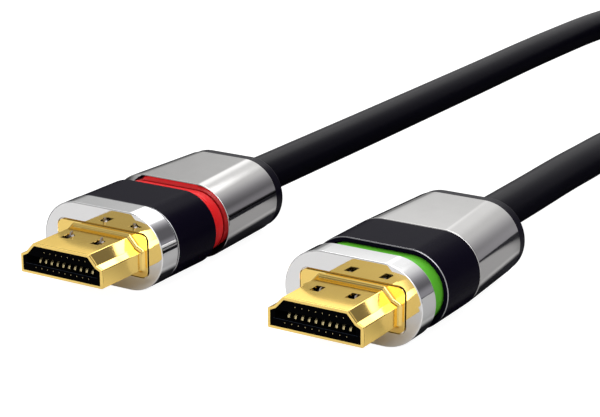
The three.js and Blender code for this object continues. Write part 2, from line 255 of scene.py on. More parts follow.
class Value:
    """One output of a node, which takes part in plain arithmetic."""

    def __init__(self, graph, socket):
        self.graph = graph
        self.socket = socket

    def __getitem__(self, name):
        return Value(self.graph, self.socket.node.outputs[name])

    def math(self, operation, *values):
        inputs = dict(enumerate(values))
        return self.graph.add("ShaderNodeMath", {"operation": operation}, inputs)

    def __add__(self, other):
        return self.math("ADD", self, other)

    __radd__ = __add__

    def __sub__(self, other):
        return self.math("SUBTRACT", self, other)

    def __rsub__(self, other):
        return self.math("SUBTRACT", other, self)

    def __mul__(self, other):
        return self.math("MULTIPLY", self, other)

    __rmul__ = __mul__

    def between(self, low, high):
        """0 below low, 1 above high and a smooth step between them."""
        settings = {"interpolation_type": "SMOOTHSTEP"}
        inputs = {"Value": self, "From Min": low, "From Max": high}
        return self.graph.add("ShaderNodeMapRange", settings, inputs)

    def within(self, start, full, end, gone):
        """Rises from 0 at start to 1 at full, and falls from 1 at end to 0 at gone."""
        return self.between(start, full) * (1 - self.between(end, gone))


class Graph:
    """The nodes of one material or of the world."""

    def __init__(self, owner):
        owner.use_nodes = True
        self.tree = owner.node_tree

    def add(self, kind, settings=None, inputs=None, output=0):
        """A node with its settings, then its sockets' values or links, as a Value."""
        node = self.tree.nodes.new(kind)
        for name, value in (settings or {}).items():
            setattr(node, name, value)
        self.fill(node, inputs or {})
        return Value(self, node.outputs[output])

    def fill(self, node, inputs):
        for name, value in inputs.items():
            if isinstance(value, Value):
                self.tree.links.new(value.socket, node.inputs[name])
            else:
                node.inputs[name].default_value = value

    def shade(self, **inputs):
        """Sets the material's own Principled shader, with underscores for spaces."""
        shader = self.tree.nodes["Principled BSDF"]
        self.fill(shader, {name.replace("_", " "): value for name, value in inputs.items()})

    def place(self):
        """The point on the object, in metres."""
        return self.add("ShaderNodeTexCoord", output="Object")

    def noise(self, grain, detail, stretch=(1.0, 1.0, 1.0)):
        """Soft noise from 0 to 1 with features about one grain across."""
        scale = tuple(part / grain for part in stretch)
        place = self.add("ShaderNodeMapping", {}, {"Vector": self.place(), "Scale": scale})
        inputs = {"Vector": place, "Scale": 1.0, "Detail": detail}
        return self.add("ShaderNodeTexNoise", {}, inputs)

    def bump(self, height, depth, strength=1.0):
        inputs = {"Height": height, "Distance": depth, "Strength": strength}
        return self.add("ShaderNodeBump", {}, inputs)

    def tint(self, mask, low, high):
        """A colour that goes from low to high with a mask."""
        settings = {"data_type": "RGBA"}
        inputs = {0: mask, 6: opaque(low), 7: opaque(high)}
        return self.add("ShaderNodeMix", settings, inputs, output=2)


def mixed(base, level, mask):
    """A number that goes from base to level with a mask."""
    return base + (level - base) * mask


def absolute(value):
    """How far a number is from 0."""
    return value.math("ABSOLUTE", value)


def opaque(shade):
    return (*shade, 1.0)


def scaled(shade, share):
    return tuple(min(1.0, part * share) for part in shade)


def new_finish(name):
    material = bpy.data.materials.new(name)
    return material, Graph(material)


# Finishes

def polished_metal(name, colour_name, roughness, worn, low_angle=(1.0, 1.0, 1.0)):
    """Mirror-like metal: slightly uneven in colour, with faint wiping marks."""
    material, graph = new_finish(name)
    shade = getattr(settings().colours, colour_name)
    clouds = graph.noise(grain=2.5 * MM, detail=4.0)
    wiping = graph.noise(grain=0.25 * MM, detail=2.0, stretch=(1.0, 0.12, 1.0))
    graph.shade(
        Base_Color=graph.tint(clouds, scaled(shade, 1.0 - worn), scaled(shade, 1.0 + worn)),
        Metallic=1.0,
        Specular_Tint=opaque(low_angle),
        Roughness=roughness + 0.04 * clouds + 0.03 * wiping,
        Normal=graph.bump(wiping, 0.004 * MM, 0.2),
    )
    return material


def gold_plate():
    rim = settings().colours.gold_rim
    return polished_metal("gold plate", "gold", roughness=0.1, worn=0.04, low_angle=rim)


def contact_gold():
    return polished_metal("contact gold", "contact", roughness=0.42, worn=0.08)


def polished_chrome():
    return polished_metal("polished chrome", "chrome", roughness=0.02, worn=0.01)


def spring_steel():
    return polished_metal("spring steel", "steel", roughness=0.32, worn=0.06)


def grey_metal():
    return polished_metal("grey metal", "hood", roughness=0.05, worn=0.015)


def bright_edge():
    """The bare metal of a turned edge."""
    return polished_metal("bright edge", "edge", roughness=0.12, worn=0.02)


def moulded_plastic(name, colour_name, roughness, ior, grain=0.12 * MM, relief=0.004 * MM):
    """Moulded plastic with a fine grain and a slightly uneven gloss."""
    material, graph = new_finish(name)
    shade = getattr(settings().colours, colour_name)
    grains = graph.noise(grain, detail=2.0)
    clouds = graph.noise(grain=3.0 * MM, detail=3.0)
    graph.shade(
        Base_Color=graph.tint(clouds, scaled(shade, 0.9), scaled(shade, 1.1)),
        Roughness=roughness + 0.08 * clouds - 0.04 * grains,
        IOR=ior,
        Normal=graph.bump(grains, relief, 0.3),
    )
    return material


def insert_plastic():
    return moulded_plastic("insert plastic", "insert", roughness=0.5, ior=1.03)


def lip_highlight_plastic():
    """The insert's lip line: a pale blue-grey colour that is a painted highlight along the lip's
    edge.
    """
    return moulded_plastic("worn lip", "worn", roughness=0.6, ior=1.1)


def green_plastic():
    return moulded_plastic("green plastic", "green", roughness=0.42, ior=1.25)


def red_plastic():
    return moulded_plastic("red plastic", "red", roughness=0.3, ior=1.18)


def black_satin():
    return moulded_plastic("black satin", "sleeve", roughness=0.22, ior=1.06)


def cap_plastic():
    return moulded_plastic("cap plastic", "sleeve", roughness=0.28, ior=1.15)


def cable_jacket():
    """Extruded jacket: satin black, with a coarser grain than the moulded pieces."""
    return moulded_plastic(
        "cable jacket", "jacket", roughness=0.32, ior=1.15, grain=0.3 * MM, relief=0.006 * MM,
    )


def tie_fabric():
    """Woven fabric: ribs across the tie and along it."""
    material, graph = new_finish("tie fabric")
    ribs = [
        graph.add(
            "ShaderNodeTexWave",
            {"wave_type": "BANDS", "bands_direction": axis, "wave_profile": "SIN"},
            {"Vector": graph.place(), "Scale": 0.3 / MM, "Distortion": 1.2},
            output="Fac",
        )
        for axis in ("X", "Y")
    ]
    weave = ribs[0] * ribs[1]
    shade = settings().colours.tie
    graph.shade(
        Base_Color=graph.tint(weave, scaled(shade, 0.6), scaled(shade, 1.5)),
        Roughness=0.95 - 0.15 * weave,
        IOR=1.3,
        Normal=graph.bump(weave, 0.15 * MM),
    )
    return material


# Outlines and meshes

def box_outline(width, height, radius, drop=0.0):
    """Points around a box with round corners, as (across, up) pairs."""
    outline = []
    for right, top, start in ((1, -1, -90), (1, 1, 0), (-1, 1, 90), (-1, -1, 180)):
        centre = (right * (width / 2 - radius), top * (height / 2 - radius) - drop)
        for step in range(CORNER_STEPS + 1):
            angle = math.radians(start + 90 * step / CORNER_STEPS)
            outline.append((
                centre[0] + radius * math.cos(angle), centre[1] + radius * math.sin(angle),
            ))
    return outline


def wire_outline(width, height):
    """A contact's small section, with softened corners."""
    radius = 0.3 * min(width, height)
    across, up = width / 2, height / 2
    corners = [(-across, -up), (across, -up), (across, up), (-across, up)]
    return rounded(corners, [radius] * 4, steps=2)


def stadium(width, height):
    return box_outline(width, height, height / 2)


def stadium_in(low, high):
    """A function that gives the stadium in a box, made smaller by an inset."""
    width, height = high.x - low.x, high.z - low.z
    return lambda y, inset: stadium(width - 2 * inset, height - 2 * inset)


def rounded(corners, radii, steps=EDGE_STEPS):
    """A closed outline of (a, b) corners, each rounded by its own radius."""
    outline = []
    for index, (corner, radius) in enumerate(zip(corners, radii)):
        here = Vector(corner)
        if radius == 0:
            outline.append(tuple(here))
            continue
        back = (Vector(corners[index - 1]) - here).normalized()
        ahead = (Vector(corners[(index + 1) % len(corners)]) - here).normalized()
        half = back.angle(ahead) / 2
        centre = here + (back + ahead).normalized() * (radius / math.sin(half))
        first = here + back * (radius / math.tan(half)) - centre
        turn = first.angle_signed(here + ahead * (radius / math.tan(half)) - centre)
        for step in range(steps + 1):
            angle = -turn * step / steps
            outline.append((
                centre.x + first.x * math.cos(angle) - first.y * math.sin(angle),
                centre.y + first.x * math.sin(angle) + first.y * math.cos(angle),
            ))
    return outline


def joined_rings(rings, closed=True):
    """A mesh of rings, each joined to the next; closed joins the last to the first."""
    work = bmesh.new()
    loops = [[work.verts.new(point) for point in ring] for ring in rings]
    nexts = loops[1:] + loops[:1] if closed else loops[1:]
    for loop, following in zip(loops, nexts):
        for i in range(len(loop)):
            j = (i + 1) % len(loop)
            work.faces.new((loop[i], loop[j], following[j], following[i]))
    if not closed:
        work.faces.new(loops[0])
        work.faces.new(loops[-1])
    bmesh.ops.remove_doubles(work, verts=work.verts, dist=MERGE_DISTANCE)
    bmesh.ops.recalc_face_normals(work, faces=work.faces)
    return as_mesh(work)


def as_mesh(work):
    mesh = bpy.data.meshes.new("mesh")
    work.to_mesh(mesh)
    work.free()
    return mesh


def linked(name, data):
    """A new object in the scene."""
    thing = bpy.data.objects.new(name, data)
    bpy.context.scene.collection.objects.link(thing)
    return thing


def around_y(y, outline):
    return [(across, y, up) for across, up in outline]


def swept(profile, outline_at):
    """A ring-shaped solid along Y: a closed profile of (y, inset) around an outline."""
    return joined_rings([around_y(y, outline_at(y, inset)) for y, inset in profile])


def prism(outline, front, rear):
    return joined_rings([around_y(front, outline), around_y(rear, outline)], closed=False)


def block(low, high):
    corners = [(low[0], low[2]), (high[0], low[2]), (high[0], high[2]), (low[0], high[2])]
    return prism(corners, low[1], high[1])


def merged(meshes):
    """Several meshes as one."""
    work = bmesh.new()
    for mesh in meshes:
        work.from_mesh(mesh)
        bpy.data.meshes.remove(mesh)
    return as_mesh(work)


def boolean(mesh, operation, others):
    """A mesh joined with or cut by others, with exact booleans."""
    target = linked("target", mesh)
    helpers = [linked("helper", other) for other in others]
    for helper in helpers:
        step = target.modifiers.new("boolean", "BOOLEAN")
        step.object = helper
        step.operation = operation
        step.solver = "EXACT"
    graph = bpy.context.evaluated_depsgraph_get()
    result = bpy.data.meshes.new_from_object(target.evaluated_get(graph))
    for helper in [target, *helpers]:
        used = helper.data
        bpy.data.objects.remove(helper)
        bpy.data.meshes.remove(used)
    return result


def add_piece(name, mesh, materials, origin, body, nodes):
    """Puts a mesh in place, finishes its shading and ties it to its body's empty."""
    mesh.name = name
    mesh.materials.clear()
    for material in materials:
        mesh.materials.append(material)
    for polygon in mesh.polygons:
        polygon.use_smooth = True
    mesh.set_sharp_from_angle(angle=SHARP_ANGLE)
    piece = linked(name, mesh)
    piece.location = origin
    normals = piece.modifiers.new("flat faces stay flat", "WEIGHTED_NORMAL")
    normals.keep_sharp = True
    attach(piece, body)
    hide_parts(*nodes)
    return piece


def paint(mesh, index, test):
    """Gives the faces that pass a test on (centre, normal) another of the mesh's materials."""
    for polygon in mesh.polygons:
        if test(polygon.center, polygon.normal):
            polygon.material_index = index


class Plug:
    """A plug's place and outer sizes, as its CAD nodes give them."""

    def __init__(self, side):
        self.side = side
        low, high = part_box(f"{side}_core")
        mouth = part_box(f"{side}_shell")[0].y
        self.origin = Vector(((low.x + high.x) / 2, mouth, (low.z + high.z) / 2))

    def node(self, piece):
        return f"{self.side}_{piece}"

    def box(self, piece):
        """A node's lowest and highest corner, from the middle of the plug's mouth."""
        low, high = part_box(self.node(piece))
        return low - self.origin, high - self.origin

    def add(self, piece, mesh, materials, slot, body="cable"):
        return add_piece(
            f"{self.side}_{piece}_dressed", mesh, materials, self.origin, body,
            [self.node(piece)],
        )


def plugs():
    return [Plug(side) for side in SIDES]


def dress(piece, make_mesh, finish, slot):
    """Adds the same piece to both plugs."""
    for plug in plugs():
        plug.add(piece, make_mesh(plug), [finish], slot)


# Pieces of a plug, from the mouth backwards

def shell_corners(inset):
    """The shell's outline, wide side down, moved inwards by an inset."""
    sizes = settings().shell
    bottom = -sizes.height / 2
    side = bottom + sizes.side
    half = sizes.width / 2
    right = [
        (half, bottom), (half, side),
        (half - sizes.ledge_inset, side + sizes.ledge_rise),
        (half - sizes.top_inset, sizes.height / 2),
    ]
    corners = [Vector(point) for point in right + [(-x, z) for x, z in reversed(right)]]
    moved = []
    for index, corner in enumerate(corners):
        following = corners[(index + 1) % len(corners)]
        ways = []
        for start, end in ((corners[index - 1], corner), (corner, following)):
            along = (end - start).normalized()
            ways.append(Vector((-along.y, along.x)))
        shift = (ways[0] + ways[1]) * (inset / (1 + ways[0].dot(ways[1])))
        moved.append(corner + shift)
    return moved


def shell_outline(inset):
    bend = max(settings().shell.bend - inset, TIGHTEST_FOLD)
    corners = [tuple(corner) for corner in shell_corners(inset)]
    return rounded(corners, [bend] * len(corners), BEND_STEPS)


def shell_outside(rear):
    """The folded sheet's outer form: rim, fine groove, flat sides and root flare."""
    sizes = settings().shell
    rim, groove = SHEET_RIM, RIM_GROOVE
    stations = [
        (0.0, rim), (0.3 * rim, 0.3 * rim), (rim, 0.0), (groove, 0.0),
        (groove + rim, 0.6 * rim), (groove + 2 * rim, 0.0),
    ]
    for step in range(FLARE_STEPS + 1):
        angle = math.radians(90 * step / FLARE_STEPS)
        stations.append((
            sizes.flange_front - sizes.flare * (1 - math.sin(angle)),
            -sizes.flare_rise * (1 - math.cos(angle)),
        ))
    middle = sizes.flange_front + sizes.flange_thickness / 2
    stations += [(middle, -sizes.flare_rise), (middle, 0.0), (rear, 0.0)]
    rings = [around_y(y, shell_outline(inset)) for y, inset in stations]
    return joined_rings(rings, closed=False)


def flange_mesh(plug):
    """The flange plate, with eased edges."""
    sizes = settings().shell
    low, high = plug.box("shell")
    rim = SHEET_RIM
    front = sizes.flange_front
    rear = front + sizes.flange_thickness
    drop = -(low.z + high.z) / 2
    width, height = high.x - low.x, high.z - low.z
    whole = box_outline(width, height, sizes.flange_corner, drop)
    eased = box_outline(width - 2 * rim, height - 2 * rim, sizes.flange_corner - rim, drop)
    return joined_rings([
        around_y(front, eased), around_y(front + rim, whole),
        around_y(rear - rim, whole), around_y(rear, eased),
    ], closed=False)


def shell_mesh(plug):
    sizes = settings().shell
    low, high = plug.box("shell")
    inside = prism(shell_outline(sizes.wall), -CUT_BEYOND, high.y + CUT_BEYOND)
    windows = [
        block(
            (x - sizes.window_width / 2, sizes.window_front, 0.0),
            (x + sizes.window_width / 2, sizes.window_front + sizes.window_length, high.z),
        )
        for x in window_places()
    ]
    solid = boolean(shell_outside(high.y), "UNION", [flange_mesh(plug)])
    return boolean(solid, "DIFFERENCE", [inside, *windows])


def contact_places(count):
    pitch = settings().shell.contact_pitch
    return [(index - (count - 1) / 2) * pitch for index in range(count)]


def contact_heights(plug, piece):
    """Where a row's tips and runs lie."""
    half = settings().shell.contact_thickness / 2
    low, high = plug.box(piece)
    ends = (low.z + half, high.z - half)
    return ends[::-1] if piece.startswith("upper") else ends


def insert_mesh(plug):
    """The moulded insert with its slot, its contacts' holes and the latch's channels."""
    sizes = settings().shell
    low, high = plug.box("insert")
    rear = high.y + CUT_BEYOND
    body = prism(shell_outline(sizes.wall + INSERT_GAP), INSERT_FRONT, high.y)
    cutters = [block(
        (-sizes.slot_width / 2, -CUT_BEYOND, -sizes.slot_floor),
        (sizes.slot_width / 2, sizes.slot_depth, sizes.slot_ceiling),
    )]
    for piece, (count, tips) in CONTACT_ROWS.items():
        cutters += contact_holes(plug, piece, count, tips, rear)
    hooks_front = plug.box("latch_hooks")[0].y - HOLE_ROOM
    wide = sizes.hook_width / 2 + HOLE_ROOM
    for x in window_places():
        cutters.append(block(
            (x - wide, hooks_front, sizes.height / 2 - sizes.latch_room),
            (x + wide, rear, sizes.height / 2),
        ))
    # A thin bar along the slot floor's lip, which carries the painted highlight colour
    half_line = LIP_LINE_SHARE * sizes.slot_width / 2
    line = block(
        (-half_line, INSERT_FRONT - LIP_LINE, -sizes.slot_floor - LIP_LINE),
        (half_line, INSERT_FRONT + LIP_LINE, -sizes.slot_floor),
    )
    return merged([boolean(body, "DIFFERENCE", cutters), line])


def contact_holes(plug, piece, count, tips, rear):
    """What a row of contacts cuts from the insert: a groove each, and a hole for each tip."""
    sizes = settings().shell
    tip_z, run_z = contact_heights(plug, piece)
    bend = plug.box(piece)[0].y + CONTACT_BEND
    high = sizes.contact_thickness / 2 + HOLE_ROOM
    wide = sizes.contact_width / 2 + HOLE_ROOM
    narrow = sizes.contact_tip / 2 + TIP_HOLE_ROOM
    cutters = []
    for index, x in enumerate(contact_places(count)):
        cutters.append(block((x - wide, bend, run_z - high), (x + wide, rear, run_z + high)))
        if index >= count - tips:
            cutters.append(block(
                (x - narrow, -CUT_BEYOND, tip_z - narrow),
                (x + narrow, bend + HOLE_ROOM, tip_z + narrow),
            ))
    return cutters


def window_places():
    spacing = settings().shell.window_spacing
    return (-spacing / 2, spacing / 2)


def hook_mesh(plug):
    """The latch fork: two arms with hooks that ramp up to an upright rear, and their bar."""
    sizes = settings().shell
    low, high = plug.box("latch_hooks")
    arm = 0.22 * MM
    bar = 0.9 * MM
    hook = 0.6 * MM
    shift = 0.12 * MM
    shoulder, neck, crest = 0.75 * MM, 0.5 * MM, 0.1 * MM
    arm_end = 0.06 * MM
    wide, narrow = sizes.hook_width / 2, sizes.hook_tip / 2
    arm_rear, arm_top = high.y - bar, low.z + arm
    arm_profile = rounded(
        [(low.y, low.z), (arm_rear, low.z), (arm_rear, arm_top), (low.y, arm_top)],
        [arm_end, 0.0, 0.0, arm_end],
    )
    parts = []
    for x in window_places():
        parts.append(joined_rings(
            [[(x + way * wide, y, z) for y, z in arm_profile] for way in (-1, 1)],
            closed=False,
        ))
        stations = [
            (arm_top, wide, low.y, 0.0), (high.z - shoulder, wide, low.y, 0.0),
            (high.z - neck, 1.2 * narrow, low.y + 0.1 * hook, shift),
            (high.z - crest, narrow, low.y + 0.35 * hook, shift),
            (high.z, 0.6 * narrow, low.y + 0.5 * hook, shift),
        ]
        parts.append(joined_rings([
            [
                (x + across + way * half, y, z)
                for way, y in ((-1, front), (1, front), (1, low.y + hook), (-1, low.y + hook))
            ]
            for z, half, front, across in stations
        ], closed=False))
    parts.append(block((low.x, arm_rear, low.z), (high.x, high.y, arm_top)))
    return merged(parts)


def contact_mesh(plug, piece, count, tips):
    """A row of contacts: fine tips in the lip's holes, wider runs, and a bar at the rear."""
    sizes = settings().shell
    low, high = plug.box(piece)
    half = sizes.contact_thickness / 2
    tip_z, run_z = contact_heights(plug, piece)
    bend = low.y + CONTACT_BEND
    bar_front = high.y - CONTACT_BAR
    tip, run = sizes.contact_tip / 2, sizes.contact_width / 2
    tip_stations = [
        (low.y - TIP_REACH, tip_z, TIP_POINT * tip), (low.y, tip_z, tip),
        (low.y + TIP_LENGTH, tip_z, tip),
    ]
    bow = SPRING_BOW if piece.startswith("lower") else STRAIGHT_RUN
    run_stations = [(bend + back * MM, run_z + up * MM, CREST_SHARE * run) for back, up in bow]
    run_stations.append((bar_front, run_z, run))
    fingers = []
    for index, x in enumerate(contact_places(count)):
        stations = run_stations if index < count - tips else tip_stations + run_stations
        fingers.append(joined_rings([
            [
                (x + across, y, z + up)
                for across, up in wire_outline(2 * wide, 2 * min(half, wide))
            ]
            for y, z, wide in stations
        ], closed=False))
    fingers.append(block((low.x, bar_front, run_z - half), (high.x, high.y, run_z + half)))
    return merged(fingers)


def nose_mesh(plug):
    """The collar: a mirror face with a seat for the flange, and round front edges."""
    sizes = settings()
    low, high = plug.box("nose")
    flange_low, flange_high = plug.box("shell")
    fit = sizes.body.fit
    edge = sizes.body.nose_edge
    lip = 0.04 * MM
    seat_rear = sizes.shell.flange_front + sizes.shell.flange_thickness + fit

    def seat(room):
        return box_outline(
            flange_high.x - flange_low.x + 2 * room, flange_high.z - flange_low.z + 2 * room,
            sizes.shell.flange_corner + room, -(flange_low.z + flange_high.z) / 2,
        )

    bore = box_outline(sizes.shell.width + 4 * fit, sizes.shell.height + 4 * fit, 4 * fit)
    return joined_rings([
        around_y(seat_rear, seat(fit)), around_y(low.y + lip, seat(fit)),
        around_y(low.y, seat(fit + lip)), *outer_rings(low, high, edge, edge),
        around_y(high.y, bore), around_y(seat_rear, bore),
    ])


def outer_rings(low, high, front_edge, rear_edge):
    """The rings of a piece's outside, from the front to the rear, with round edges."""
    depth = (high.z - low.z) / 4
    profile = rounded(
        [(low.y, depth), (low.y, 0.0), (high.y, 0.0), (high.y, depth)],
        [0.0, front_edge, rear_edge, 0.0],
    )
    outline_at = stadium_in(low, high)
    return [around_y(y, outline_at(y, inset)) for y, inset in profile[1:-1]]


def band_mesh(plug, piece, grooves):
    """A coloured band, with fine grooves at the given shares of its length."""
    wall = settings().body.band_wall
    low, high = plug.box(piece)
    cut = GROOVE_DEPTH
    top = []
    for share in grooves:
        y = low.y + share * (high.y - low.y)
        top += [(y - cut, 0.0), (y, cut), (y + cut, 0.0)]
    corners = [(low.y, wall), (low.y, 0.0), *top, (high.y, 0.0), (high.y, wall)]
    radii = [0.0, cut] + [0.3 * cut] * len(top) + [cut, 0.0]
    return swept(rounded(corners, radii), stadium_in(low, high))


def sleeve_mesh(plug):
    """The sliding sleeve with its round edges, and where its front edge ends."""
    sizes = settings().body
    low, high = plug.box("sleeve")
    corners = [
        (low.y, sizes.sleeve_wall), (low.y, 0.0), (high.y, 0.0), (high.y, sizes.sleeve_wall),
    ]
    edge = sizes.sleeve_edge
    profile = rounded(corners, [0.5 * edge, edge, edge, 0.5 * edge])
    return swept(profile, stadium_in(low, high)), low.y + edge


def hood_mesh(plug):
    """The tapered grip: narrower and slightly taller at its rear, with bright edges."""
    sizes = settings().body
    low, high = plug.box("hood")
    wall = sizes.sleeve_wall + sizes.band_wall
    front = (high.x - low.x, sizes.hood_front_height)
    rear = (sizes.hood_rear_width, high.z - low.z)

    def outline_at(y, inset):
        share = (y - low.y) / (high.y - low.y)
        width = front[0] + share * (rear[0] - front[0])
        height = front[1] + share * (rear[1] - front[1])
        return stadium(width - 2 * inset, height - 2 * inset)

    corners = [(low.y, wall), (low.y, 0.0), (high.y, 0.0), (high.y, wall)]
    edge = sizes.hood_edge
    return swept(rounded(corners, [0.0, edge, edge, 0.0]), outline_at)


def cap_mesh(plug):
    """The end cap, round at its rear edge, with the hole that the cable leaves by."""
    sizes = settings()
    low, high = plug.box("end_cap")
    hole = sizes.cable.diameter + CAP_HOLE_ROOM
    edge = CAP_HOLE_EDGE
    rings = outer_rings(low, high, edge, sizes.body.cap_edge)
    for y, wide in ((high.y, 2 * edge), (high.y - edge, 0.0), (low.y, 0.0)):
        rings.append(around_y(y, stadium(hole + wide, hole + wide)))
    return joined_rings(rings)


# The cable's two runs from the plugs to the coil, in millimetres. They lie a little higher
# and straighter than the model's, as the photograph shows them.
LEFT_ROUTE = [
    (-20.05, 21.3, 5.7), (-20.05, 60, 5.7), (-20.05, 100, 5.8), (-20.05, 140, 5.9),
    (-20.05, 166, 5.3), (-20.05, 186, 3.7),
]
RIGHT_ROUTE = [
    (20.05, 21.3, 5.7), (20.05, 40, 5.7), (19.9, 60, 5.6), (20.5, 82, 5.1),
    (25.8, 104, 4.3), (37.8, 126, 4.1), (51.6, 148, 4.9), (59.2, 170, 6.8),
    (61.95, 189, 8.6),
]

# How the coil is wound, and how the tie holds it
RUN_START = 0.3 * MM
LAYER_TURNS = 2.75
CLIMB_START = 2.5
CLIMB_TURNS = 0.5
TIE_ANGLE = 90
HUMP_ANGLE = 36
HUMP_HEIGHT = 0.9 * MM
CABLE_BURIED = 1.5 * MM
TIE_ROOM = 0.25 * MM
TIE_EDGE = 0.2 * MM
HALF_LAP = 7 * MM
LAP_GAP = 0.02 * MM
LAP_INSET = 0.3 * MM


def smooth(share):
    share = min(max(share, 0.0), 1.0)
    return share * share * (3 - 2 * share)


def coil_point(turn):
    """A point of the coil: in on the lower layer, up, and out on the upper layer."""
    sizes = settings().cable
    centre_x = LEFT_ROUTE[0][0] * MM + sizes.outer_turn
    radius = sizes.outer_turn - sizes.diameter * (LAYER_TURNS - abs(turn - LAYER_TURNS))
    degrees = 180 - 360 * turn
    from_tie = abs((degrees - TIE_ANGLE + 180) % 360 - 180)
    hump = math.cos(math.radians(90 * min(from_tie / HUMP_ANGLE, 1.0))) ** 2
    climb = smooth((turn - CLIMB_START) / CLIMB_TURNS)
    angle = math.radians(degrees)
    return (
        centre_x + radius * math.cos(angle),
        sizes.coil_y + radius * math.sin(angle),
        sizes.diameter * (0.5 + climb) + HUMP_HEIGHT * hump,
    )


def cable_line():
    """The whole centreline, from the left plug to the right one."""
    steps = round(2 * LAYER_TURNS * settings().cable.turn_points)
    coil = [coil_point(2 * LAYER_TURNS * step / steps) for step in range(steps + 1)]
    left = [tuple(part * MM for part in point) for point in LEFT_ROUTE]
    right = [tuple(part * MM for part in point) for point in reversed(RIGHT_ROUTE)]
    inside = RUN_START + CABLE_BURIED
    start = (left[0][0], left[0][1] - inside, left[0][2])
    end = (right[-1][0], right[-1][1] - inside, right[-1][2])
    return [start, *left, *coil, *right, end]


def tie_mesh():
    """The tie: a strap around the coil's section, with soft edges, and its lapped end."""
    sizes = settings().cable
    low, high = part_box("coil_tie")
    thick = sizes.tie_thickness
    beyond = sizes.diameter / 2 + TIE_ROOM + thick
    first_turn = (180 - TIE_ANGLE) / 360
    outer = sizes.outer_turn - sizes.diameter * first_turn
    inner = outer - sizes.diameter * int(LAYER_TURNS)
    low.y = sizes.coil_y + inner - beyond
    high.y = sizes.coil_y + outer + beyond
    depth, height = high.y - low.y, high.z - low.z
    middle = (low + high) / 2
    profile = rounded(
        [(low.x, 0.0), (high.x, 0.0), (high.x, thick), (low.x, thick)], [TIE_EDGE] * 4,
    )
    rings = []
    for x, inset in profile:
        outline = box_outline(depth - 2 * inset, height - 2 * inset, beyond - inset)
        rings.append([(x, middle.y + across, middle.z + up) for across, up in outline])
    lap_front, lap_rear = middle.y - HALF_LAP, middle.y + HALF_LAP
    lap_low, lap_high = high.z + LAP_GAP, high.z + thick
    lap_profile = rounded(
        [(lap_front, lap_low), (lap_rear, lap_low), (lap_rear, lap_high), (lap_front, lap_high)],
        [0.5 * TIE_EDGE, 0.5 * TIE_EDGE, 1.5 * TIE_EDGE, 1.5 * TIE_EDGE],
    )
    lapped = joined_rings(
        [[(x, y, z) for y, z in lap_profile] for x in (low.x + LAP_INSET, high.x - LAP_INSET)],
        closed=False,
    )
    return merged([joined_rings(rings), lapped])


# Operators, one for each piece or group of like pieces

class PieceOperator:
    """What the operators share."""

    bl_options = {"REGISTER", "UNDO"}

    def execute(self, context):
        self.make()
        return {"FINISHED"}


class VIDEOCABLE_OT_camera(PieceOperator, bpy.types.Operator):
    """Place the camera at the photograph's viewing angle"""

    bl_idname = "video_cable.camera"
    bl_label = "Camera"

    def make(self):
        sizes = settings().stage
        data = bpy.data.cameras.new("camera")
        data.sensor_width = 36.0
        data.lens = sizes.lens
        data.clip_start = 0.01
        data.clip_end = 50.0
        camera = linked("camera", data)
        camera.location = sizes.camera_place
        camera.rotation_mode = "QUATERNION"
        camera.rotation_quaternion = Vector(sizes.camera_line).to_track_quat("-Z", "Y")
        bpy.context.scene.camera = camera


class VIDEOCABLE_OT_cable(PieceOperator, bpy.types.Operator):
    """Lay the cable from plug to plug through its coil, and tie the coil"""

    bl_idname = "video_cable.cable"
    bl_label = "Cable and tie"

    def make(self):
        sizes = settings().cable
        curve = bpy.data.curves.new("cable", "CURVE")
        curve.dimensions = "3D"
        curve.resolution_u = 8
        curve.bevel_depth = sizes.diameter / 2
        curve.bevel_resolution = 12
        curve.use_fill_caps = True
        line = cable_line()
        spline = curve.splines.new("BEZIER")
        spline.bezier_points.add(len(line) - 1)
        for place, point in zip(line, spline.bezier_points):
            point.co = place
            point.handle_left_type = "AUTO"
            point.handle_right_type = "AUTO"
        curve.materials.append(cable_jacket())
        cable = linked("cable", curve)
        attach(cable, "cable")
        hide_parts("cable_run_left", "cable_run_right", "cable_coil")
        tie = add_piece(
            "tie", tie_mesh(), [tie_fabric()], (0.0, 0.0, 0.0), "cable", ["coil_tie"],
        )


class VIDEOCABLE_OT_shells(PieceOperator, bpy.types.Operator):
    """Fold the gold-plated shells with their flanges and latch windows"""

    bl_idname = "video_cable.shells"
    bl_label = "Shells"

    def make(self):
        dress("shell", shell_mesh, gold_plate(), "gold_plate")


class VIDEOCABLE_OT_inserts(PieceOperator, bpy.types.Operator):
    """Finish the moulded inserts and the cores behind them"""

    bl_idname = "video_cable.inserts"
    bl_label = "Inserts and cores"

    def make(self):
        plastic, worn = insert_plastic(), lip_highlight_plastic()
        lip = -settings().shell.slot_floor
        for plug in plugs():
            insert = plug.add("insert", insert_mesh(plug), [plastic, worn], "insert_plastic")
            # The lip bar's faces get the painted highlight colour
            paint(
                insert.data, 1,
                lambda centre, normal: centre.y < INSERT_FRONT - LIP_LINE / 2
                and abs(centre.z - lip) < LIP_LINE,
            )
            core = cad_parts[plug.node("core")].data
            core.materials.clear()
            core.materials.append(plastic)


class VIDEOCABLE_OT_contacts(PieceOperator, bpy.types.Operator):
    """Set the two rows of contacts in each insert"""

    bl_idname = "video_cable.contacts"
    bl_label = "Contacts"

    def make(self):
        gold = contact_gold()
        for plug in plugs():
            for piece, (count, tips) in CONTACT_ROWS.items():
                plug.add(piece, contact_mesh(plug, piece, count, tips), [gold], "contact_gold")


class VIDEOCABLE_OT_latches(PieceOperator, bpy.types.Operator):
    """Fit the sprung latch forks under the shells' windows"""

    bl_idname = "video_cable.latches"
    bl_label = "Latches"

    def make(self):
        steel = spring_steel()
        for plug in plugs():
            plug.add(
                "latch_hooks", hook_mesh(plug), [steel], "spring_steel", f"{plug.side}_latch",
            )


class VIDEOCABLE_OT_noses(PieceOperator, bpy.types.Operator):
    """Turn the chromed collars around the flanges"""

    bl_idname = "video_cable.noses"
    bl_label = "Noses"

    def make(self):
        dress("nose", nose_mesh, polished_chrome(), "polished_chrome")


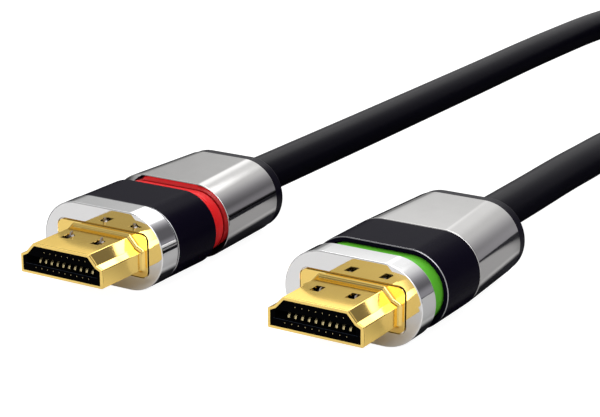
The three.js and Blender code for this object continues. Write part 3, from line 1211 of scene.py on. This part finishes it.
class VIDEOCABLE_OT_bands(PieceOperator, bpy.types.Operator):
    """Fit the green and red bands that show the plug's state"""

    bl_idname = "video_cable.bands"
    bl_label = "Bands"

    def make(self):
        green, red = green_plastic(), red_plastic()
        for plug in plugs():
            plug.add("green_band", band_mesh(plug, "green_band", []), [green], "green_band")
            plug.add("red_band", band_mesh(plug, "red_band", [RED_GROOVE]), [red], "red_band")


class VIDEOCABLE_OT_sleeves(PieceOperator, bpy.types.Operator):
    """Slide the black sleeves onto the bands"""

    bl_idname = "video_cable.sleeves"
    bl_label = "Sleeves"

    def make(self):
        black, edge = black_satin(), bright_edge()
        for plug in plugs():
            mesh, edge_end = sleeve_mesh(plug)
            sleeve = plug.add(
                "sleeve", mesh, [black, edge], "black_satin", f"{plug.side}_sleeve",
            )
            paint(
                sleeve.data, 1,
                lambda centre, normal: centre.y < edge_end
                and EDGE_TILT[0] < -normal.y < EDGE_TILT[1]
                and Vector((centre.x, centre.z)).dot(Vector((normal.x, normal.z))) > 0,
            )


class VIDEOCABLE_OT_hoods(PieceOperator, bpy.types.Operator):
    """Shape the grey metal hoods and the black end caps"""

    bl_idname = "video_cable.hoods"
    bl_label = "Hoods and end caps"

    def make(self):
        grey, black = grey_metal(), cap_plastic()
        for plug in plugs():
            plug.add("hood", hood_mesh(plug), [grey], "grey_metal")
            plug.add("end_cap", cap_mesh(plug), [black], "black_satin")


# Half the floor's width, in metres
FLOOR_HALF = 8.0

# Where the painted shade in the floor's given-back light starts and ends, in metres: painted
# shadows under and beside the plugs, painted dark patches left of and behind them, and a painted
# fade far away
FADE_LEFT = (0.2, 0.4)
FADE_RIGHT = (0.5, 1.0)
SPLIT_SLOPE = 0.768
SPLIT_EDGE = (-0.012, -0.005)
UNDER_SIDE = (0.0098, 0.0118)
UNDER_FRONT = (-0.012, -0.008)
ASIDE_START = (0.0105, 0.013)
ASIDE_FRONT = (-0.014, -0.004)
ASIDE_DARKER = 0.42
LEFT_END = (-0.036, -0.031)
LEFT_FRONT = (-0.012, -0.004)
REAR_SLOPES = (1.3, 1.79)
REAR_STARTS = (0.036, -0.03)
REAR_JOIN = (0.01, 0.02)
REAR_EDGE = (0.0, 0.01)

# The floor's given-back colour under full painted shade and with none, and its colour where it
# is seen
FLOOR_PAINTED_SHADE = (0.03, 0.03, 0.035)
FLOOR_PALE = (0.77, 0.765, 0.76)
FLOOR_SEEN = (0.3, 0.3, 0.3)

# The studio's lights and gaps, in degrees round from straight behind or straight in front
# of the plugs and in degrees of height, with how bright the gaps are
LEFT_WALL = (-110, -80, -41, -28)
LEFT_WALL_SHARE = 0.58
RIGHT_GAP = (5, 32, 70, 105)
RIGHT_GAP_RISE = (5, 15)
RIGHT_GAP_TOP = (38, 60)
RIGHT_GAP_LEVELS = (0.28, 0.12)
SOFTBOX = ((-60, -42, -12, 5), (17.8, 22.5, 60, 75))
SOFTBOX_FALL = (-29, -20)
SOFTBOX_SHARE = 0.66
BRIGHT_BOX = ((-50, -35, -3, 16), (33, 39, 60, 70))
FRONT_WALL = (-100, -80, -36, -24)
FRONT_WALL_LEVEL = 0.5
FRONT_GAP = ((-80, -60, 60, 80), (44, 52, 70, 80))
FRONT_GAP_LEVEL = 0.2
FRONT_LIGHT = ((-30, -14, 30, 48), (19, 34, 44, 54))
CEILING_EDGE = (66, 76)
LOW_LINE = ((33, 37), (0, 1.8))
LOW_LINE_DARKER = 0.95
LOW_PATCH = ((-70, -50, -28, -20), (6, 13))
LOW_PATCH_DARKER = 0.6

# The light's colour from the pale walls and from the right-hand gap
WALL_TINT = (1.0, 1.0, 0.99)
GAP_TINT = (0.96, 0.93, 1.0)


class VIDEOCABLE_OT_stage(PieceOperator, bpy.types.Operator):
    """Lay the pale floor and light the studio"""

    bl_idname = "video_cable.stage"
    bl_label = "Stage"

    def make(self):
        self.floor()
        self.studio()
        bpy.context.scene.view_settings.view_transform = "Standard"

    def floor(self):
        mesh = bpy.data.meshes.new("floor")
        ways = ((-1, -1), (1, -1), (1, 1), (-1, 1))
        corners = [(FLOOR_HALF * across, FLOOR_HALF * along, 0) for across, along in ways]
        mesh.from_pydata(corners, [], [(0, 1, 2, 3)])
        mesh.materials.append(self.pale_floor())
        linked("floor", mesh)

    def pale_floor(self):
        """White where it is seen; what it gives back to the plugs has painted shade: soft
        painted shadows and dark patches.
        """
        material, graph = new_finish("pale floor")
        # The colour given back to the plugs goes from painted shade to pale with the mask
        lit = graph.tint(self.painted_floor_shade(graph), FLOOR_PAINTED_SHADE, FLOOR_PALE)
        bounce = graph.add("ShaderNodeBsdfDiffuse", {}, {"Color": lit})
        glow = graph.add(
            "ShaderNodeEmission", {}, {"Strength": settings().stage.floor_glow},
        )
        white = graph.add("ShaderNodeBsdfDiffuse", {}, {"Color": opaque(FLOOR_SEEN)})
        seen = graph.add("ShaderNodeAddShader", {}, {0: glow, 1: white})
        direct = graph.add("ShaderNodeLightPath", output="Is Camera Ray")
        surface = graph.add("ShaderNodeMixShader", {}, {0: direct, 1: bounce, 2: seen})
        graph.fill(graph.tree.nodes["Material Output"], {"Surface": surface})
        return material

    def painted_floor_shade(self, graph):
        """A painted-shade mask: 0 under, beside, left of and behind the plugs, and far away from
        them.
        """
        place = graph.place()
        away = graph.add(
            "ShaderNodeVectorMath", {"operation": "LENGTH"}, {0: place}, output="Value",
        )
        parts = graph.add("ShaderNodeSeparateXYZ", {}, {0: place})
        x, y = parts["X"], parts["Y"]
        from_plug = absolute(absolute(x) - plugs()[1].origin.x)
        # Painted shadows under and beside the plugs, and painted dark patches left of and behind
        # them
        under = (1 - from_plug.between(*UNDER_SIDE)) * y.between(*UNDER_FRONT)
        aside = from_plug.between(*ASIDE_START) * y.between(*ASIDE_FRONT)
        left = (1 - x.between(*LEFT_END)) * y.between(*LEFT_FRONT)
        rear = [y - slope * x - start for slope, start in zip(REAR_SLOPES, REAR_STARTS)]
        behind = mixed(*rear, x.between(*REAR_JOIN))
        near_right = (x - SPLIT_SLOPE * y).between(*SPLIT_EDGE)
        lit = mixed(1 - away.between(*FADE_LEFT), 1 - away.between(*FADE_RIGHT), near_right)
        lit = lit * (1 - behind.between(*REAR_EDGE)) * (1 - ASIDE_DARKER * aside)
        return lit * (1 - under) * (1 - left)

    def studio(self):
        """Pale walls, soft lights behind and in front, and dark gaps that shape the metal."""
        world = bpy.data.worlds.new("studio")
        bpy.context.scene.world = world
        graph = Graph(world)
        levels = settings().stage
        way = graph.add("ShaderNodeTexCoord", output="Generated")
        parts = graph.add("ShaderNodeSeparateXYZ", {}, {0: way})
        degrees = math.degrees(1.0)
        behind = parts["X"].math("ARCTAN2", parts["X"], parts["Y"]) * degrees
        front = parts["X"].math("ARCTAN2", parts["X"], 0 - parts["Y"]) * degrees
        height = parts["Z"].math("ARCSINE", parts["Z"]) * degrees

        def patch(around, edges):
            return around.within(*edges[0]) * height.within(*edges[1])

        right = behind.within(*RIGHT_GAP)
        sky = mixed(levels.studio, LEFT_WALL_SHARE * levels.studio, behind.within(*LEFT_WALL))
        gap = mixed(*RIGHT_GAP_LEVELS, height.between(*RIGHT_GAP_RISE))
        sky = mixed(sky, gap, right * (1 - height.between(*RIGHT_GAP_TOP)))
        fallen = SOFTBOX_SHARE * levels.softbox
        soft = mixed(levels.softbox, fallen, behind.between(*SOFTBOX_FALL))
        sky = mixed(sky, soft, patch(behind, SOFTBOX))
        sky = mixed(sky, levels.bright_box, patch(behind, BRIGHT_BOX))
        sky = mixed(sky, FRONT_WALL_LEVEL, front.within(*FRONT_WALL))
        sky = mixed(sky, FRONT_GAP_LEVEL, patch(front, FRONT_GAP))
        sky = mixed(sky, levels.front_light, patch(front, FRONT_LIGHT))
        sky = mixed(sky, levels.ceiling, height.between(*CEILING_EDGE))
        line = behind.between(*LOW_LINE[0]) * (1 - height.between(*LOW_LINE[1]))
        low_patch = behind.within(*LOW_PATCH[0]) * (1 - height.between(*LOW_PATCH[1]))
        sky = sky * (1 - LOW_LINE_DARKER * line) * (1 - LOW_PATCH_DARKER * low_patch)
        tint = graph.tint(right, WALL_TINT, GAP_TINT)
        graph.fill(graph.tree.nodes["Background"], {"Color": tint, "Strength": sky})


OPERATORS = (
    VIDEOCABLE_OT_camera,
    VIDEOCABLE_OT_cable,
    VIDEOCABLE_OT_shells,
    VIDEOCABLE_OT_inserts,
    VIDEOCABLE_OT_contacts,
    VIDEOCABLE_OT_latches,
    VIDEOCABLE_OT_noses,
    VIDEOCABLE_OT_bands,
    VIDEOCABLE_OT_sleeves,
    VIDEOCABLE_OT_hoods,
    VIDEOCABLE_OT_stage,
)


class VIDEOCABLE_PT_pieces(bpy.types.Panel):
    """Lists the pieces in the sidebar"""

    bl_idname = "VIDEOCABLE_PT_pieces"
    bl_label = "Video cable"
    bl_space_type = "VIEW_3D"
    bl_region_type = "UI"
    bl_category = "Video cable"

    def draw(self, context):
        for operator in OPERATORS:
            self.layout.operator(operator.bl_idname)


CLASSES = (
    ShellSizes, BodySizes, CableSizes, FinishColours, StageSettings, CableSettings,
    *OPERATORS, VIDEOCABLE_PT_pieces,
)


def register():
    for kind in CLASSES:
        bpy.utils.register_class(kind)
    bpy.types.Scene.video_cable = PointerProperty(
        type=CableSettings, name="Video cable", description="The cable's settings",
    )


def unregister():
    del bpy.types.Scene.video_cable
    for kind in reversed(CLASSES):
        bpy.utils.unregister_class(kind)


def main():
    """Makes every piece."""
    register()
    for operator in OPERATORS:
        group, name = operator.bl_idname.split(".")
        getattr(getattr(bpy.ops, group), name)()


if __name__ == "__main__":
    main()
